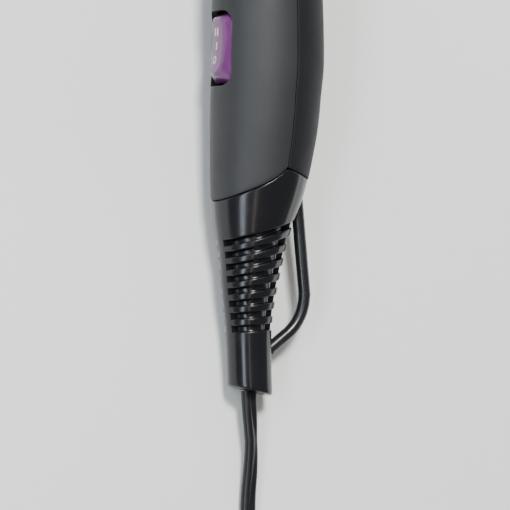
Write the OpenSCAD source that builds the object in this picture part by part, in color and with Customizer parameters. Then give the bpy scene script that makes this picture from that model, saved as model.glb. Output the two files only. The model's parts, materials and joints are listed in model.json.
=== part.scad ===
// Travel hair dryer with a folding grip, lying on its right side on a table.
// Every piece of the dryer is drawn upright, with +X the way the air leaves, +Y the dryer's
// left side, +Z up and the barrel's axis on X. lie() then lays it down: the barrel and the end
// of the cord boot touch the table at Z = 0, the nozzle points to -X and the grip to -Y.

/* [Barrel] */
// Outer radius of the barrel's straight stretch
barrel_r = 33; // [32.5:0.1:33.5]
// Rear end of the barrel shells, behind the grip hinge
barrel_back = 50; // [49:0.5:51]
// Front end of the barrel shells, ahead of the grip hinge
barrel_front = 74; // [73.5:0.1:74.5]
// Outer radius at the front end of the barrel shells
nose_r = 30; // [29.8:0.1:30.2]
// Length of the rear intake cover
cover_len = 16; // [15:0.5:18]
// How far the concentrator's mouth lies ahead of the grip hinge
mouth_x = 122; // [118:1:126]
// Half the width of the concentrator's mouth
mouth_w = 31; // [29:0.5:32]

/* [Grip] */
// Drop from the barrel's axis to the hinge that folds the grip
hinge_drop = 57; // [56.8:0.1:58]
// Wall of the moulded shells
wall = 2.2; // [2:0.1:2.4]
// Radius of the knuckle at the top of the grip
knuckle_r = 18.5; // [18.3:0.1:18.6]
// How far the fold hinge opens, in degrees
fold_deg = 90; // [80:1:90]

/* [Switch] */
// Distance from the hinge to the middle of the rocker
rocker_drop = 43.8; // [43:0.1:44.2]
// Length of the rocker cap
rocker_len = 26; // [25:0.1:26.2]
// Width of the rocker cap at its foot
rocker_w = 16.6; // [16:0.1:16.8]
// Width of the rocker's pressed face
rocker_face_w = 9.2; // [8.6:0.1:10]
// How far the rocker's face is hollowed at its middle
rocker_hollow = 1.7; // [1:0.1:1.8]

/* [Cord] */
// Width of the flat twin lead
cord_w = 6; // [5.8:0.1:6.1]
// Thickness of the flat twin lead
cord_t = 3.8; // [3.6:0.1:3.9]
// Distance from the hinge to the middle of the boot's end face
boot_end = 166.6; // [166:0.1:167]
// Outer radius of the boot's plain end
boot_r = 7.8; // [7.7:0.1:7.9]
// Thickness of the hanging loop
loop_d = 4.5; // [4.2:0.1:4.6]

/* [Hidden] */
$fn = 64;
BIG = 400;

SHELL = [0.20, 0.20, 0.22];
REAR_SHELL = [0.13, 0.13, 0.14];
GLOSS_BLACK = [0.06, 0.06, 0.07];
PURPLE = [0.36, 0.08, 0.36];
STEEL = [0.70, 0.71, 0.73];
BRASS = [0.78, 0.62, 0.30];
MICA = [0.72, 0.66, 0.52];
COPPER = [0.76, 0.44, 0.30];
BOARD = [0.15, 0.36, 0.20];
WIRE = [0.55, 0.10, 0.10];
YELLOW = [0.86, 0.72, 0.25];
CORD = [0.05, 0.05, 0.055];

// ---- how the dryer lies ----

// The boot's end touches the table when the dryer is turned this far about the barrel's axis.
boot_reach = hinge_drop + boot_end;
tilt = asin(barrel_r / norm([boot_r, boot_reach])) - atan2(boot_r, boot_reach);
// The row's origin is under the middle of the dryer's box.
box_low_y = -boot_reach * cos(tilt) - 1.5;
origin_x = (mouth_x - barrel_back - cover_len) / 2;
origin_y = -(barrel_r + box_low_y) / 2;

module lie() {
    translate([origin_x, origin_y, barrel_r])
        rotate([tilt, 0, 0])
            rotate(a = 180, v = [0, 1, 1])
                children();
}

// Draws children, made along +Z, along the barrel: their +Z becomes +X.
module along_barrel() {
    rotate([0, 90, 0]) children();
}

// Draws children, made along +Z at the origin, across the dryer: their +Z becomes +Y.
module across() {
    rotate([-90, 0, 0]) children();
}

// Puts children drawn about the fold hinge in place. In there a distance d down the grip
// is at z = -d.
module at_hinge() {
    translate([0, 0, -hinge_drop]) children();
}

// A round tube along +Z from z0 to z1.
module tube_z(r_out, r_in, z0, z1) {
    translate([0, 0, z0])
        difference() {
            cylinder(h = z1 - z0, r = r_out);
            translate([0, 0, -1]) cylinder(h = z1 - z0 + 2, r = r_in);
        }
}

// ---- lofts ----

// One oval ring of n points at height z.
function oval(centre, half_x, half_y, z, n = 40) =
    [for (i = [0:n - 1]) [centre + half_x * cos(360 * i / n), half_y * sin(360 * i / n), z]];

// Closes a stack of rings with n points each into a solid.
module skin(rings) {
    n = len(rings[0]);
    m = len(rings);
    sides = [
        for (k = [0:m - 2], i = [0:n - 1]) let (
            a = k * n + i,
            b = k * n + (i + 1) % n
        ) each [[a, a + n, b + n], [a, b + n, b]]
    ];
    bottom = [for (i = [0:n - 1]) i];
    top = [for (i = [0:n - 1]) m * n - 1 - i];
    polyhedron(points = [for (r = rings) each r], faces = concat(sides, [bottom], [top]), convexity = 6);
}

// The direction of a path at its point i.
function heading(path, i) =
    let (
        step = path[min(i + 1, len(path) - 1)] - path[max(i - 1, 0)]
    ) step / norm(step);
// A round wire inside the dryer. The rings' sides are taken across wire_side.
wire_side = [0.2, 1, 0.1];
wire_r = 0.9;
module wire(path, r, n) {
    skin([
        for (i = [0:len(path) - 1]) let (
            t = heading(path, i),
            side = cross(t, wire_side) / norm(cross(t, wire_side)),
            up = cross(side, t)
        ) [for (k = [0:n - 1]) let (a = 360 * k / n) path[i] + r * (side * cos(a) + up * sin(a))]
    ]);
}

// The grip and its boot, as [distance below the hinge, centre, half depth, half width].
grip_line = [
    [-20, 0, 18.9, 16.6],
    [0, 0, 19.2, 17.0],
    [26, -0.2, 20.6, 17.3],
    [49, -0.2, 21.0, 17.6],
    [60.5, 0.5, 20.55, 17.3],
    [72, 1.2, 20.05, 16.8],
    [83.5, 2.35, 19.0, 15.9],
    [91, 3.2, 18.1, 15.3],
    [98, 4.15, 16.85, 14.5],
    [106, 5.45, 14.8, 13.3],
    [112, 6.05, 13.25, 12.2],
    [118, 6.3, 12.1, 11.5],
    [129.5, 7.2, 10.4, 9.9],
    [141, 7.5, 8.85, 8.4],
    [150, 7.4, 8.3, 7.9],
    [175, 6.6, boot_r + 0.35, boot_r - 0.05]
];

function span_at(d, i = 0) =
    i >= len(grip_line) - 2 || d < grip_line[i + 1][0] ? i : span_at(d, i + 1);
function grip_slope(i, c) =
    let (
        low = max(i - 1, 0),
        high = min(i + 1, len(grip_line) - 1)
    ) (grip_line[high][c] - grip_line[low][c]) / (grip_line[high][0] - grip_line[low][0]);
// Column c of grip_line at distance d, on a smooth curve through its rows.
function grip_at(d, c) =
    let (
        i = span_at(d),
        run = grip_line[i + 1][0] - grip_line[i][0],
        t = (d - grip_line[i][0]) / run
    ) (2 * t ^ 3 - 3 * t ^ 2 + 1) * grip_line[i][c]
        + (t ^ 3 - 2 * t ^ 2 + t) * run * grip_slope(i, c)
        + (3 * t ^ 2 - 2 * t ^ 3) * grip_line[i + 1][c]
        + (t ^ 3 - t ^ 2) * run * grip_slope(i + 1, c);
function grip_ring(d, inset) =
    oval(grip_at(d, 1), grip_at(d, 2) - inset, grip_at(d, 3) - inset, -d);

// The solid between two distances below the hinge, inset from the outside.
module grip_body(from, to, inset = 0, step = 8) {
    count = ceil((to - from) / step);
    skin([for (k = [count:-1:0]) grip_ring(from + (to - from) * k / count, inset)]);
}

// ---- the line between the shells and the boot ----

seam_apex = [-1, 86.6];
seam_front = [22, 98.8];
seam_back = [-22, 93.2];
// One point of the curve that the seam follows from its apex to the front.
function seam_point(t) =
    (1 - t) ^ 3 * seam_apex + 3 * (1 - t) ^ 2 * t * [4, 92]
        + 3 * (1 - t) * t ^ 2 * [12, 94] + t ^ 3 * seam_front;
seam = concat([seam_back], [for (k = [0:8]) seam_point(k / 8)]);

// Everything above the seam, moved down by lower.
module above_seam(lower = 0) {
    across()
        linear_extrude(height = 60, center = true)
            polygon(concat(
                [for (p = seam) [p[0], p[1] + lower]],
                [[60, seam_front[1] + lower], [60, -60], [-60, -60], [-60, seam_back[1] + lower]]
            ));
}

// The parting line of the two grip shells, behind the middle of the grip.
parting_back = 3.9;
module behind_parting() {
    across()
        linear_extrude(height = 60, center = true)
            polygon(concat(
                [for (d = [-30:10:110]) [grip_at(max(d, -20), 1) - parting_back, d]],
                [[-60, 110], [-60, -30]]
            ));
}

// ---- barrel ----

inner_r = barrel_r - wall - 0.1;
shell_outline = [
    [31.2, -barrel_back],
    [32.5, -barrel_back + 1.2],
    [barrel_r, -barrel_back + 4],
    [barrel_r, 38],
    [32.6, 50],
    [31.7, 62],
    [nose_r, barrel_front],
    [nose_r - wall, barrel_front],
    [31.7 - wall, 62],
    [32.6 - wall, 50],
    [inner_r, 38],
    [inner_r, -barrel_back]
];
tongue_half = 7.2;
tongue_r = knuckle_r - 0.2;
neck_front = 5;
neck_r = 17.3;
pin_r = 4;
run_gap = 0.05;
ear_gap = 0.3;

// The neck above the hinge and the tongue about it, left half.
module neck_half() {
    at_hinge() {
        across() cylinder(h = tongue_half, r = tongue_r);
        translate([-tongue_r, 0, 0]) cube([tongue_r + neck_front, tongue_half, hinge_drop - 31]);
        difference() {
            intersection() {
                translate([-1, 0, 0]) cylinder(h = hinge_drop - 29, r = neck_r);
                translate([-BIG + neck_front, 0, 0]) cube(BIG);
            }
            translate([0, -1, 0]) across() cylinder(h = 40, r = knuckle_r + 0.4);
        }
    }
}

module barrel_half() {
    difference() {
        union() {
            along_barrel() rotate_extrude(angle = 180) polygon(shell_outline);
            neck_half();
        }
        // room inside the barrel
        along_barrel() translate([0, 0, -barrel_back + 4]) cylinder(h = 80, r = inner_r);
        at_hinge() {
            // room inside the neck and the tongue for the wires
            translate([-10.5, -1, 22]) cube([10.5, 8, 12]);
            translate([-10.5, -1, 0]) cube([10.5, 5.6, 30]);
            translate([0, -1, 0]) across() cylinder(h = 5.6, r = tongue_r - 2.6);
            // way out for the wires, open over the whole fold
            translate([-4.5, -1, -tongue_r - 2]) cube([30, 5.6, tongue_r + 2.5]);
            // bore for the hinge pin
            across() cylinder(h = 20, r = pin_r + run_gap);
        }
    }
}

// Where the two screws join the barrel shells through the neck, as [x, z].
screw_places = [[-14, -37], [2.6, -35.6]];
screw_r = 1.3;
screw_head_r = 2.6;
screw_head_y = 8;

module barrel_shell_left() {
    lie() color(SHELL)
        difference() {
            barrel_half();
            for (p = screw_places)
                translate([p[0], -1, p[1]]) across() cylinder(h = 10, r = screw_r);
        }
}

module barrel_shell_right() {
    lie() color(SHELL)
        difference() {
            mirror([0, 1, 0]) barrel_half();
            for (p = screw_places)
                translate([p[0], -40, p[1]]) across() {
                    cylinder(h = 50, r = screw_r + 0.2);
                    cylinder(h = 40 - screw_head_y, r = screw_head_r + 0.2);
                }
        }
}

module barrel_screws() {
    lie() color(STEEL)
        for (p = screw_places)
            translate([p[0], -screw_head_y, p[1]]) across() {
                cylinder(h = screw_head_y + 8, r = screw_r);
                translate([0, 0, -2])
                    difference() {
                        cylinder(h = 2, r = screw_head_r);
                        cube([3.6, 0.8, 1.6], center = true);
                        cube([0.8, 3.6, 1.6], center = true);
                    }
            }
}

// The sleeve in the barrel's nose, which the concentrator turns on.
sleeve_r = 26.2;
sleeve_front = 84;
module outlet_sleeve() {
    lie() color(GLOSS_BLACK) along_barrel()
        rotate_extrude()
            polygon([
                [24.2, 67], [27.4, 67], [27.4, barrel_front - 0.2], [sleeve_r, barrel_front - 0.2],
                [sleeve_r, 81.4], [26.8, 82], [26.8, 83], [sleeve_r, sleeve_front],
                [24.2, sleeve_front]
            ]);
}

module outlet_grille() {
    lie() color(STEEL) along_barrel() {
        tube_z(24.15, 22.6, 70, 73);
        for (r = [5.5, 11.2, 16.9]) tube_z(r + 1.1, r, 70.4, 72.6);
        difference() {
            for (a = [0:60:120]) rotate(a) translate([-23.2, -0.6, 70.6]) cube([46.4, 1.2, 1.8]);
            translate([0, 0, 60]) cylinder(h = 20, r = 5.2);
        }
        translate([0, 0, 70.4]) cylinder(h = 2.2, r = 5.6);
    }
}

// ---- fan and motor ----

motor_r = 14;
shaft_r = 1.15;
blade_count = 7;
vane_count = 6;

module fan_housing() {
    lie() color(GLOSS_BLACK) along_barrel() {
        tube_z(inner_r - 0.1, 29.3, -49, -20);
        tube_z(motor_r + 1.7, motor_r + 0.05, -28.5, -8);
        difference() {
            for (k = [0:vane_count - 1])
                rotate(360 * k / vane_count)
                    translate([22.2, 0, -25])
                        rotate([-28, 0, 0])
                            cube([14.6, 1.4, 9], center = true);
            translate([0, 0, -60]) cylinder(h = 80, r = motor_r + 0.6);
        }
    }
}

module motor_can() {
    lie() color(STEEL) along_barrel()
        difference() {
            translate([0, 0, -28]) cylinder(h = 28, r = motor_r);
            translate([0, 0, -26.8]) cylinder(h = 30, r = motor_r - 1.6);
            translate([0, 0, -30]) cylinder(h = 10, r = shaft_r + run_gap);
        }
}

module motor_end_cap() {
    lie() color(GLOSS_BLACK) along_barrel()
        difference() {
            union() {
                cylinder(h = 3, r = motor_r);
                for (side = [-1, 1]) translate([side * 8, 0, 3.8]) cube([0.8, 4, 1.7], center = true);
            }
            translate([0, 0, -1]) cylinder(h = 3, r = shaft_r + run_gap);
        }
}

module motor_armature() {
    lie() color(COPPER) along_barrel() {
        translate([0, 0, -46]) cylinder(h = 47.6, r = shaft_r);
        difference() {
            translate([0, 0, -23]) cylinder(h = 19, r = 10.6);
            for (k = [0:4]) rotate(72 * k) translate([9.6, 0, -24]) cylinder(h = 22, r = 1.6);
        }
        translate([0, 0, -3.6]) cylinder(h = 2.4, r = 3.4);
    }
}

module fan_impeller() {
    lie() color(GLOSS_BLACK) along_barrel()
        difference() {
            union() {
                translate([0, 0, -44]) cylinder(h = 12, r = 11.5);
                intersection() {
                    for (k = [0:blade_count - 1])
                        rotate(360 * k / blade_count)
                            translate([20, 0, -38])
                                rotate([38, 0, 0])
                                    cube([22, 1.5, 13], center = true);
                    translate([0, 0, -50]) cylinder(h = 30, r = 28.7);
                }
            }
            translate([0, 0, -41.5]) cylinder(h = 12, r = 9.8);
            translate([0, 0, -60]) cylinder(h = 40, r = shaft_r);
        }
}

module rectifier_board() {
    lie() color(BOARD) along_barrel() {
        difference() {
            translate([0, 0, 5]) cylinder(h = 1.6, r = 12);
            translate([0, 0, 4]) cylinder(h = 4, r = 3);
        }
        for (k = [0:3])
            rotate(45 + 90 * k) translate([7, -2.5, 7.7]) across() cylinder(h = 5, r = 1.2);
    }
}

// ---- heater ----

heater_from = 13;
heater_to = 66;
cross_half = 23;
coil_wire_r = 0.5;
coil_turns = 8;

module mica_cross() {
    lie() color(MICA)
        difference() {
            union() {
                translate([heater_from, -cross_half, -0.5])
                    cube([heater_to - heater_from, 2 * cross_half, 1]);
                translate([heater_from, -0.5, -cross_half])
                    cube([heater_to - heater_from, 1, 2 * cross_half]);
            }
            for (side = [-1, 1])
                translate([30, 0, side * 11]) across() cylinder(h = 4, r = 3, center = true);
        }
}

module heater_coil() {
    lie() color(STEEL) {
        start = heater_from + 4;
        run = heater_to - heater_from - 8;
        radius = cross_half + coil_wire_r + 0.2;
        path = [
            for (k = [0:12 * coil_turns]) let (a = 30 * k) [
                start + run * k / (12 * coil_turns), radius * cos(a) / cos(15), radius * sin(a) / cos(15)
            ]
        ];
        wire(path, coil_wire_r, 4);
    }
}

module mica_tube() {
    lie() color(MICA) along_barrel() tube_z(26.4, 25.8, 8, 67);
}

module thermostat() {
    lie() color(STEEL)
        translate([50, 0.5, 4]) cube([11, 5, 9]);
}

module thermal_fuse() {
    lie() color(BRASS)
        translate([48, -1.8, 9]) along_barrel() cylinder(h = 11, r = 1.2);
}

module barrel_wires() {
    lie() color(WIRE)
        for (y = [-2.4, 0, 2.4])
            wire([
                [-6, y, -hinge_drop + 8], [-6, y, -40], [-6, y, -30], [-4, y, -21],
                [3, y, -17.5], [8, y * 1.6, -14], [10, y * 1.8, -9]
            ], wire_r, 6);
}

// ---- rear cover ----

module intake_cover() {
    lie() color(SHELL) along_barrel()
        difference() {
            rotate_extrude()
                polygon([
                    [0, -barrel_back - cover_len],
                    [21, -barrel_back - cover_len],
                    [25.5, -barrel_back - cover_len + 1.4],
                    [28.8, -barrel_back - cover_len + 4.4],
                    [30.8, -barrel_back - 6],
                    [31.2, -barrel_back - 0.4],
                    [30.2, -barrel_back - 0.4],
                    [30.2, -barrel_back + 0.6],
                    [28.4, -barrel_back + 0.6],
                    [28.4, -barrel_back - 8],
                    [25, -barrel_back - cover_len + 3.6],
                    [20, -barrel_back - cover_len + 2],
                    [0, -barrel_back - cover_len + 2]
                ]);
            for (k = [0:23])
                rotate(15 * k)
                    translate([9, -0.9, -barrel_back - cover_len - 2])
                        cube([k % 2 == 0 ? 15.5 : 9.5, 1.8, 8]);
        }
}

module intake_filter() {
    lie() color(STEEL) along_barrel()
        difference() {
            translate([0, 0, -barrel_back - 1.6]) cylinder(h = 1, r = 28.2);
            for (r = [6, 12, 18, 24], k = [0:r - 1])
                rotate(360 * k / r) translate([r, 0, -barrel_back - 3]) cylinder(h = 4, r = 1.1);
        }
}

// ---- concentrator ----

spout_thick = 1.7;
spout_r = 29.5;
ring_r = 29.8;
ring_end = barrel_front + 11.4;
spout_from = ring_end - 1;
mouth_t = 5.6;
// One ring of the spout: round at the sleeve, a flat slot across the barrel at the mouth.
function spout_ring(t, inset, x1) =
    let (
        u = t * t * (3 - 2 * t),
        tall = (1 - u) * spout_r + u * mouth_w - inset,
        thin = (1 - u) * spout_r + u * mouth_t - inset,
        square = 1 - 0.45 * u
    ) [
        for (i = [0:47]) let (c = cos(-7.5 * i - 3), s = sin(-7.5 * i - 3)) [
            -tall * sign(c) * abs(c) ^ square, thin * sign(s) * abs(s) ^ square,
            spout_from + (x1 - spout_from) * t
        ]
    ];

module concentrator() {
    lie() color(GLOSS_BLACK) along_barrel()
        difference() {
            union() {
                translate([0, 0, barrel_front + 0.4]) cylinder(h = 11, r = ring_r);
                skin([for (k = [0:8]) spout_ring(k / 8, 0, mouth_x)]);
            }
            skin([for (k = [0:8]) spout_ring(k / 8, spout_thick, mouth_x + 0.5)]);
            rotate_extrude()
                polygon([
                    [0, barrel_front - 1], [sleeve_r + 0.3, barrel_front - 1],
                    [sleeve_r + 0.3, 81.2], [27.2, 81.8], [27.2, 83.4], [26.6, 84],
                    [26.6, spout_from + 0.4], [0, spout_from + 0.4]
                ]);
        }
}

// ---- grip shells ----

void_from = 23;
spigot_end = 101;
spigot_inset = wall + 0.15;

// What both shells are cut from: the outside above the seam and the spigot inside the boot.
module grip_walls() {
    difference() {
        union() {
            intersection() {
                grip_body(-20, 100, 0, 7.5);
                above_seam(-0.25);
                union() {
                    across() cylinder(h = 60, r = knuckle_r, center = true);
                    translate([-50, -50, -BIG]) cube([100, 100, BIG]);
                }
            }
            grip_body(82, spigot_end, spigot_inset, 6.4);
        }
        // room inside, narrower in the spigot
        grip_body(void_from, 84, wall, 7.7);
        grip_body(82, spigot_end + 0.5, spigot_inset + 1.6, 6.4);
        // the fork that holds the neck's tongue
        across() cylinder(h = 2 * (tongue_half + ear_gap), r = knuckle_r + 0.2, center = true);
        translate([-30, -tongue_half - ear_gap, -4])
            cube([60, 2 * (tongue_half + ear_gap), 40]);
        translate([0, -tongue_half - ear_gap, -neck_front - 0.4])
            cube([30, 2 * (tongue_half + ear_gap), 40]);
        // wires from the tongue
        translate([-2, 0, -void_from - 1]) cylinder(h = 12, r = 3.6);
        // seats and bores of the hinge pins
        for (side = [-1, 1])
            scale([1, side, 1]) {
                across() cylinder(h = 30, r = pin_r);
                translate([0, 15, 0]) across() cylinder(h = 10, r = cap_r + 0.15);
            }
    }
}

cap_r = 9.5;
opening_half_len = 14;
opening_half_w = 8.7;

module rocker_opening() {
    translate([10, -opening_half_w, -rocker_drop - opening_half_len])
        cube([20, 2 * opening_half_w, 2 * opening_half_len]);
}

// Bosses of the front shell that the grip screws run into, as distances below the hinge.
grip_screws = [63.5, 79];

module handle_front_shell() {
    lie() color(SHELL) at_hinge() {
        difference() {
            grip_walls();
            difference() {
                behind_parting();
                across() cylinder(h = 60, r = 8, center = true);
            }
            rocker_opening();
        }
        for (d = grip_screws)
            translate([0, 0, -d]) {
                difference() {
                    translate([grip_at(d, 1) - parting_back + 0.1, 0, 0])
                        rotate([0, 90, 0])
                            cylinder(h = grip_at(d, 2) + parting_back - wall, r = 3);
                    translate([-20, 0, 0]) rotate([0, 90, 0]) cylinder(h = 32, r = 1.25);
                }
            }
    }
}

module handle_rear_shell() {
    lie() color(REAR_SHELL) at_hinge()
        difference() {
            union() {
                intersection() {
                    grip_walls();
                    behind_parting();
                }
                for (d = grip_screws)
                    intersection() {
                        translate([grip_at(d, 1) - grip_at(d, 2) + 1.2, 0, -d])
                            rotate([0, 90, 0])
                                cylinder(h = grip_at(d, 2) - parting_back - 1.2, r = 4.6);
                        grip_body(40, 100, 1);
                    }
            }
            across() cylinder(h = 60, r = 8, center = true);
            // notch for the top of the hanging loop
            translate([-14, -2.3, -102]) cube([8, 4.6, 7]);
            for (d = grip_screws)
                translate([-40, 0, -d]) {
                    rotate([0, 90, 0]) cylinder(h = 60, r = 1.7);
                    rotate([0, 90, 0]) cylinder(h = 40 + grip_at(d, 1) - parting_back - 5, r = 3.2);
                }
        }
}

module handle_screws() {
    lie() color(STEEL) at_hinge()
        for (d = grip_screws)
            translate([grip_at(d, 1) - parting_back - 5, 0, -d]) {
                rotate([0, 90, 0]) cylinder(h = 15, r = 1.25);
                translate([-2, 0, 0])
                    difference() {
                        rotate([0, 90, 0]) cylinder(h = 2, r = 2.8);
                        cube([1.6, 0.8, 3.6], center = true);
                        cube([1.6, 3.6, 0.8], center = true);
                    }
            }
}

module hinge_pins() {
    lie() color(STEEL) at_hinge()
        for (side = [-1, 1])
            scale([1, side, 1])
                translate([0, 2.4, 0])
                    across()
                        difference() {
                            cylinder(h = 12.5, r = pin_r);
                            translate([0, 0, -1]) cylinder(h = 9, r = 2.2);
                        }
}

module hinge_caps() {
    lie() color(GLOSS_BLACK) at_hinge()
        for (side = [-1, 1])
            scale([1, side, 1])
                translate([0, 15, 0])
                    across()
                        rotate_extrude()
                            polygon([
                                [0, 0], [cap_r, 0], [cap_r, 1.2], [cap_r - 0.8, 2],
                                [5, 2.5], [0, 2.6]
                            ]);
}

// ---- switch ----

pivot_x = 10.5;
trunnion_r = 1.5;
foot_x = 17.9;
// The ends of the pressed face, and the large cylinder that hollows it between them.
face_x = 21.6;
face_top = 10;
face_bottom = 9;
hollow_r = 49;
hollow_z = 4;

// Places children about the rocker's pivot, with +X out of the grip.
module at_rocker() {
    at_hinge() translate([pivot_x, 0, -rocker_drop]) children();
}

// A thin slice of the rocker at x, reaching up and down from the pivot.
module rocker_slab(x, half_w, up, down) {
    translate([x - 0.1, -half_w, -down]) cube([0.1, 2 * half_w, up + down]);
}

module rocker_switch() {
    half_l = rocker_len / 2;
    lie() color(PURPLE) at_rocker() {
        difference() {
            hull() {
                rocker_slab(1, rocker_w / 2 - 1, half_l - 2.4, half_l - 2.4);
                rocker_slab(foot_x - pivot_x, rocker_w / 2, half_l - 1.6, half_l - 1.6);
                rocker_slab(foot_x - pivot_x, rocker_w / 2 - 1.6, half_l, half_l);
                rocker_slab(face_x - pivot_x - 1.9, rocker_face_w / 2, face_top + 0.5, face_bottom + 0.7);
                rocker_slab(face_x - pivot_x, rocker_face_w / 2 - 2.6, face_top, face_bottom);
            }
            translate([face_x - pivot_x + hollow_r - rocker_hollow, 0, hollow_z])
                across() cylinder(h = 40, r = hollow_r, center = true, $fn = 180);
        }
        across() cylinder(h = 2 * (opening_half_w + 1), r = trunnion_r, center = true);
    }
}

module switch_body() {
    half_l = 15.2;
    half_w = 10.3;
    lie() color(GLOSS_BLACK) at_rocker()
        difference() {
            translate([-13, -half_w, -half_l]) cube([15, 2 * half_w, 2 * half_l]);
            translate([-4, -opening_half_w - 0.1, -half_l + 1.2])
                cube([10, 2 * opening_half_w + 0.2, 2 * half_l - 2.4]);
            across() cylinder(h = 40, r = trunnion_r + run_gap, center = true);
            for (d = [-8, 0, 8]) translate([-14, -2.5, d - 0.4]) cube([8, 5, 0.8]);
        }
}

module switch_terminals() {
    lie() color(BRASS) at_rocker()
        for (d = [-8, 0, 8]) translate([-19, -2.5, d - 0.4]) cube([12, 5, 0.8]);
}

module suppressor_capacitor() {
    lie() color(YELLOW) at_hinge() translate([5, -6.5, -75.7]) cube([7, 13, 9]);
}

module handle_wires() {
    lie() color(WIRE) at_hinge() {
        for (y = [-2.4, 2.4]) {
            wire([
                [-2, y * 0.6, -10.5], [-2, y * 0.6, -22], [-6, y, -27], [-11.5, y * 2, -32],
                [-11.5, y * 2, -35.4]
            ], wire_r, 6);
            wire([
                [2.2, y, -85], [-0.5, 2 * y, -80], [-2, 2.7 * y, -72], [-5, 2.7 * y, -62],
                [-10.5, 2 * y, -55], [-11.5, y, -52.6]
            ], wire_r, 6);
        }
    }
}

// ---- cord boot ----

boot_lean = atan2(2.8, 79);
slot_count = 8;
slot_pitch = 4.8;
slot_first = 110.2;
slot_h = 2.3;
slot_lean_first = 15;
slot_lean_last = 3;
// The two uncut spines that the slots leave, as where each starts and ends in Y.
front_spine = [-0.8, 3.1];
rear_spine = [-3.1, 0.4];
end_slope = 12.3;

// Where the cord runs inside the grip, from the clamp at the top to the boot's end.
module at_cord() {
    translate([7.3, 0, -boot_end]) rotate([0, -boot_lean, 0]) children();
}

// The flat twin lead's outline, two cores side by side, grown by grow.
module lead_outline(grow = 0) {
    half = (cord_w - cord_t) / 2;
    for (side = [-1, 1]) translate([side * half, 0]) circle(r = cord_t / 2 + grow, $fn = 32);
    square([2 * half, 0.82 * cord_t + 2 * grow], center = true);
}

module boot_slot(k) {
    u = k / (slot_count - 1);
    d = slot_first + slot_pitch * k;
    lean = slot_lean_first + (slot_lean_last - slot_lean_first) * u;
    core_r = grip_at(d, 3) - 2.7 + 0.5 * u;
    translate([grip_at(d, 1), 0, -d])
        rotate([0, lean, 0])
            difference() {
                cube([50, 50, slot_h], center = true);
                cylinder(h = 8, r = core_r, center = true);
                translate([0, front_spine[0], -4]) cube([30, front_spine[1] - front_spine[0], 8]);
                translate([-30, rear_spine[0], -4]) cube([30, rear_spine[1] - rear_spine[0], 8]);
            }
}

module boot_body() {
    difference() {
        grip_body(80, 172, 0, 4);
        above_seam();
        translate([grip_at(boot_end, 1), 0, -boot_end])
            rotate([0, -end_slope, 0])
                translate([-30, -30, -40]) cube([60, 60, 40]);
    }
}

module cord_boot() {
    lie() color(GLOSS_BLACK) at_hinge()
        difference() {
            boot_body();
            grip_body(76, spigot_end + 0.3, wall, 6.4);
            for (k = [0:slot_count - 1]) boot_slot(k);
            at_cord() translate([0, 0, -5]) linear_extrude(height = 75) lead_outline(0.15);
            loop_wire();
        }
}

// ---- hanging loop ----

loop_top = [-11.7, -96];
loop_bend = [3.1, -131.95];
loop_bend_r = 18;
loop_lean = 5.3;
loop_turn = 58;
loop_run = 8.8;

// The loop's line: straight down behind the boot, round a bend and into the boot's side.
loop_start = loop_bend + loop_bend_r * [-cos(loop_lean), sin(loop_lean)];
loop_finish = loop_bend
    + loop_bend_r * [-cos(loop_turn - loop_lean), -sin(loop_turn - loop_lean)];
loop_line = concat(
    [[loop_top[0], 0, loop_top[1]]],
    [
        for (k = [0:10]) let (a = 180 - loop_lean + loop_turn * k / 10)
            [loop_bend[0] + loop_bend_r * cos(a), 0, loop_bend[1] + loop_bend_r * sin(a)]
    ],
    [[
        loop_finish[0] + loop_run * sin(loop_turn - loop_lean), 0,
        loop_finish[1] - loop_run * cos(loop_turn - loop_lean)
    ]]
);

module loop_wire() {
    wire(loop_line, loop_d / 2, 14);
}

module hanging_loop() {
    lie() color(GLOSS_BLACK) at_hinge() loop_wire();
}

// ---- cord anchorage inside the grip ----

clamp_drop = 91;

module cord_clamp() {
    lie() color(GLOSS_BLACK) at_hinge()
        difference() {
            translate([4.6, 0, -clamp_drop]) cube([10, 18, 6], center = true);
            at_cord() linear_extrude(height = 100) lead_outline(0.1);
            for (side = [-1, 1])
                translate([-10, side * 6.2, -clamp_drop]) rotate([0, 90, 0]) cylinder(h = 30, r = 1.2);
        }
}

module clamp_screws() {
    lie() color(STEEL) at_hinge()
        for (side = [-1, 1])
            translate([-2, side * 6.2, -clamp_drop]) rotate([0, 90, 0]) {
                cylinder(h = 11, r = 1.2);
                translate([0, 0, 0]) cylinder(h = 1.5, r = 2.3);
            }
}

module cord_inner() {
    lie() color(CORD) at_hinge() at_cord()
        translate([0, 0, 0.6]) linear_extrude(height = 79.4) lead_outline();
}

// ---- the cord outside ----

// A ring of the cord about point p, heading along t, its wide side turned by roll degrees.
function cord_ring(p, t, half_w, half_t, roll, n) =
    let (
        side = cross(t, [0, 0, 1]) / norm(cross(t, [0, 0, 1])),
        up = cross(side, t)
    ) [
        for (i = [0:n - 1]) let (
            a = 360 * i / n,
            w = half_w * cos(a),
            h = half_t * sin(a)
        ) p + side * (w * cos(roll) - h * sin(roll)) + up * (w * sin(roll) + h * cos(roll))
    ];
// One point between p[1] and p[2] on a smooth curve through the four.
function between(p, t) =
    0.5 * (2 * p[1] + (p[2] - p[0]) * t + (2 * p[0] - 5 * p[1] + 4 * p[2] - p[3]) * t ^ 2
        + (3 * p[1] - p[0] - 3 * p[2] + p[3]) * t ^ 3);
function smooth(path, cuts) = [
    for (i = [0:len(path) - 2], k = [0:cuts - 1]) between([
        path[max(i - 1, 0)], path[i], path[i + 1], path[min(i + 2, len(path) - 1)]
    ], k / cuts),
    path[len(path) - 1]
];

coil_centre = [-20, -223];
coil_r = 34;
coil_across = 18.3;
coil_high = 12.2;

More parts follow.
